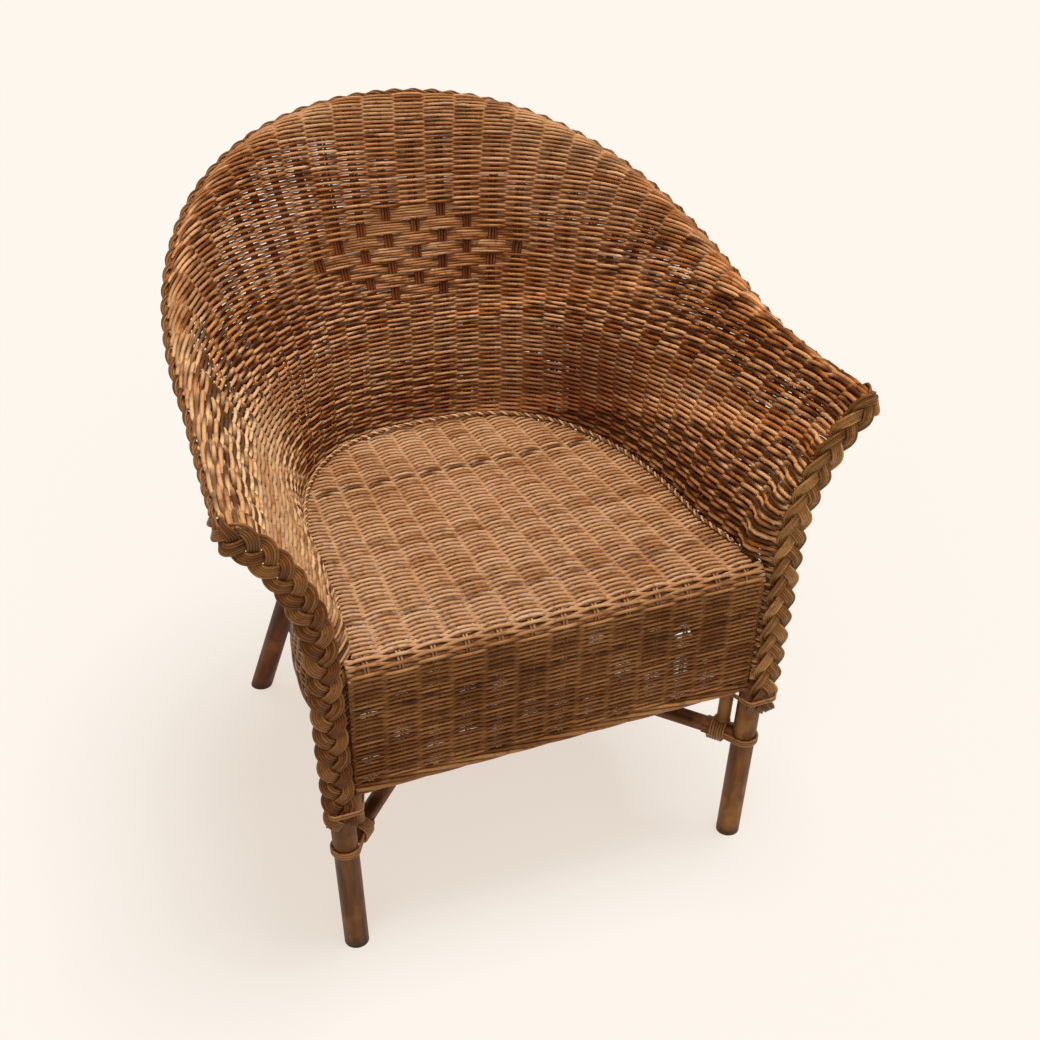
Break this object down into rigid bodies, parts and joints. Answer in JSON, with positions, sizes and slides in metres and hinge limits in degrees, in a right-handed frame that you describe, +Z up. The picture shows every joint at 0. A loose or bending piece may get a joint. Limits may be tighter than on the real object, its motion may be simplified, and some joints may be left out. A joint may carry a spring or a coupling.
{
  "type": "wicker armchair",
  "caption": "Low-backed woven cane armchair: round pole frame, tub-shaped wall that rolls outwards at the rim, woven seat with apron, crossed stretchers.",
  "frame": {"origin": "middle of the chair's footprint on the floor", "axes": "+Z up, -Y towards the front of the seat, +X towards the right arm as seen from the front"},
  "size_m": [0.6854, 0.6054, 0.7663],
  "materials": {
    "pale_pole": "varnished round rattan, honey brown",
    "dark_pole": "varnished round rattan, dark red-brown",
    "binding_cane": "varnished cane binding",
    "woven_cane": "varnished woven round cane, semi-gloss",
    "seat_cane": "lighter varnished woven cane",
    "dark_cane": "darker varnished plaited cane",
    "nail_steel": "dull steel"
  },
  "bodies": {
    "root": {"front_left_leg": "pale_pole", "front_right_leg": "pale_pole", "rear_left_leg": "dark_pole", "rear_right_leg": "dark_pole", "front_left_post": "pale_pole", "front_right_post": "pale_pole", "rear_left_post": "dark_pole", "rear_right_post": "dark_pole", "seat_front_rail": "pale_pole", "seat_side_rail": "pale_pole", "seat_battens": "pale_pole", "rising_stretcher": "dark_pole", "falling_stretcher": "dark_pole", "crossing_lashing": "binding_cane", "front_left_strap": "binding_cane", "front_right_strap": "binding_cane", "rear_left_strap": "binding_cane", "rear_right_strap": "binding_cane", "front_left_wrap": "binding_cane", "front_right_wrap": "binding_cane", "rear_left_wrap": "binding_cane", "rear_right_wrap": "binding_cane", "frame_nails": "nail_steel", "rim_hoop": "pale_pole", "woven_wall": "woven_cane", "seat_panel": "seat_cane", "seat_edge_cord": "seat_cane", "front_apron": "woven_cane", "apron_border": "dark_cane", "skirt_border": "dark_cane", "rim_braid": "dark_cane", "left_arm_plait": "dark_cane", "right_arm_plait": "dark_cane", "left_plait_tie": "binding_cane", "right_plait_tie": "binding_cane"}
  },
  "joints": []
}
